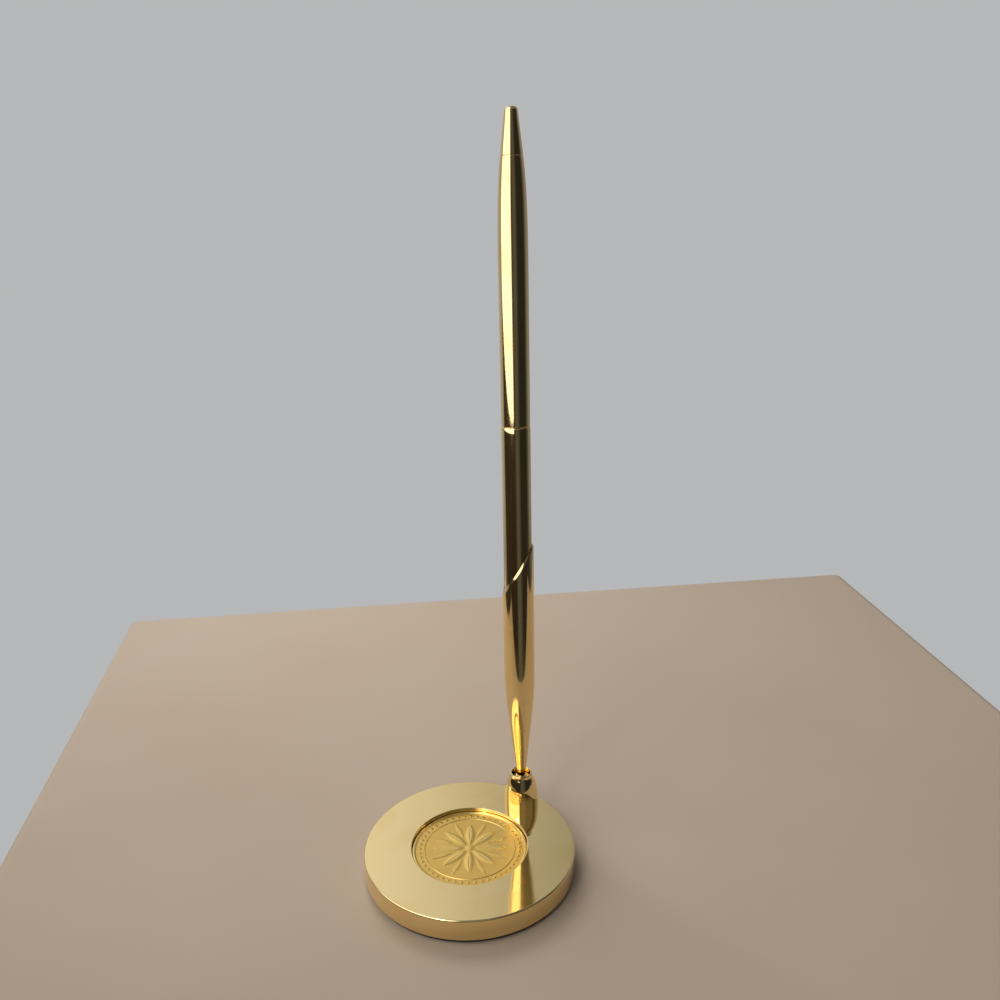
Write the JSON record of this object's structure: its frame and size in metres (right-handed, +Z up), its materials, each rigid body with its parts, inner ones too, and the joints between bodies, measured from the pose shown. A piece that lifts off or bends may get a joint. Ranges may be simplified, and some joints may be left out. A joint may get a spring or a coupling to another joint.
{
  "type": "desk pen stand",
  "caption": "Round polished gold-tone desk base with a recessed medallion and a ball socket near its edge that carries a swivelling tapered sheath holding a slim twist ballpoint pen.",
  "frame": {"origin": "centre of the felt pad's underside, where the stand rests on the desk", "axes": "+Z is up along the pen, the picture looks along +Y, and +X is to the right in the picture"},
  "size_m": [0.0636, 0.0636, 0.2162],
  "materials": {
    "polished_gold": "polished and plated",
    "satin_gold": "struck, satin",
    "felt": "felt",
    "white_nylon": "moulded",
    "black_nylon": "moulded",
    "steel": "turned",
    "spring_steel": "hardened",
    "bare_brass": "turned, not plated"
  },
  "bodies": {
    "base": {"base_disc": "polished_gold", "felt_pad": "felt", "medallion": "satin_gold", "socket_bell": "polished_gold", "pressure_spring": "spring_steel", "socket_stud": "bare_brass", "stud_washer": "steel", "stud_nut": "steel"},
    "seat": {"ball_seat": "white_nylon"},
    "ball": {"swivel_ball": "polished_gold"},
    "sheath": {"sheath": "polished_gold", "sheath_liner": "black_nylon"},
    "pen": {"nose_cone": "polished_gold", "lower_barrel": "polished_gold", "barrel_bush": "bare_brass", "guide_sleeve": "bare_brass"},
    "pen_top": {"upper_barrel": "polished_gold", "end_finial": "polished_gold", "twist_cam": "white_nylon"},
    "refill": {"refill_carrier": "white_nylon", "refill_tube": "bare_brass", "refill_point": "steel", "writing_ball": "spring_steel"}
  },
  "joints": [
    {"name": "swivel_turn", "type": "hinge", "parent": "base", "child": "seat", "pos_m": [0.01622, 0.02032, 0.0154], "axis": [0, 0, 1], "continuous": true},
    {"name": "swivel_tilt", "type": "hinge", "parent": "seat", "child": "ball", "pos_m": [0.01622, 0.02032, 0.0154], "axis": [0, 1, 0], "range_deg": [-17.7, 18.3]},
    {"name": "sheath_spin", "type": "hinge", "parent": "ball", "child": "sheath", "pos_m": [0.01622, 0.02032, 0.0154], "axis": [-0.0052, 0, 1], "continuous": true},
    {"name": "pen_lift", "type": "slide", "parent": "sheath", "child": "pen", "axis": [-0.0052, 0, 1], "range_m": [0, 0.06]},
    {"name": "pen_twist", "type": "hinge", "parent": "pen", "child": "pen_top", "pos_m": [0.01622, 0.02032, 0.0154], "axis": [-0.0052, 0, 1], "range_deg": [0, 180]},
    {"name": "refill_advance", "type": "slide", "parent": "pen", "child": "refill", "axis": [0.0052, 0, -1], "range_m": [0, 0.0045]}
  ],
  "couplings": [
    {"joint": "refill_advance", "follows": "pen_twist", "m_per_rad": 0.001432}
  ]
}
